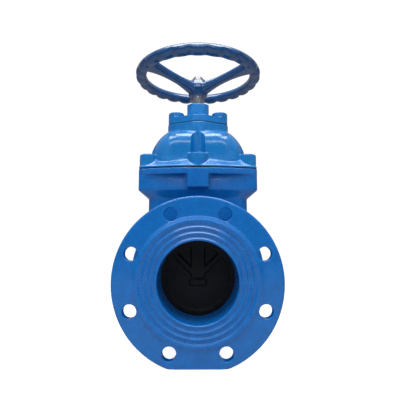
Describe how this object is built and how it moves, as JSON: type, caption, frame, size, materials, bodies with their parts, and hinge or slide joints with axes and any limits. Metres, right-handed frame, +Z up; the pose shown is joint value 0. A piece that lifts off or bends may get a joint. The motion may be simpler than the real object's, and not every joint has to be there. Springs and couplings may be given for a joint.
{
  "type": "gate valve",
  "caption": "Flanged gate valve with a resilient wedge, a non-rising stem under a two-screw gland, and a dished three-spoke handwheel that opens and closes it.",
  "frame": {"origin": "centre of the base plane that the two flanges' flats stand on, under the stem", "axes": "+Z up along the stem towards the handwheel, +Y along the waterway, +X across the valve"},
  "size_m": [0.285, 0.252, 0.5418],
  "materials": {
    "blue_epoxy": "gloss",
    "stainless": "satin",
    "epdm": "matte",
    "cast_core": "matte",
    "brass": "satin",
    "zinc_steel": "satin",
    "wax": "matte",
    "pom": "matte"
  },
  "bodies": {
    "valve": {"body": "blue_epoxy", "bonnet": "blue_epoxy", "gland_cover": "blue_epoxy", "bonnet_gasket": "epdm", "gland_gasket": "epdm", "bonnet_screws": "zinc_steel", "gland_screws": "zinc_steel", "bonnet_screw_plugs": "wax", "gland_screw_plugs": "wax", "stem_bush": "brass", "bush_outer_o_rings": "epdm", "stem_o_rings": "epdm", "lower_thrust_washer": "pom", "upper_thrust_washer": "pom", "back_seal": "epdm", "dust_wiper": "epdm"},
    "spindle": {"stem": "stainless", "handwheel": "blue_epoxy", "handwheel_washer": "zinc_steel", "handwheel_bolt": "zinc_steel"},
    "gate": {"wedge_core": "cast_core", "wedge_rubber": "epdm", "wedge_nut": "brass", "left_guide_shoe": "pom", "right_guide_shoe": "pom"}
  },
  "joints": [
    {"name": "stem_turn", "type": "hinge", "parent": "valve", "child": "spindle", "pos_m": [0, 0, 0.434], "axis": [0, 0, 1], "range_deg": [0, 10584]},
    {"name": "wedge_lift", "type": "slide", "parent": "valve", "child": "gate", "axis": [0, 0, 1], "range_m": [0, 0.1472]}
  ],
  "couplings": [
    {"joint": "wedge_lift", "follows": "stem_turn", "m_per_rad": 0.00079577}
  ]
}
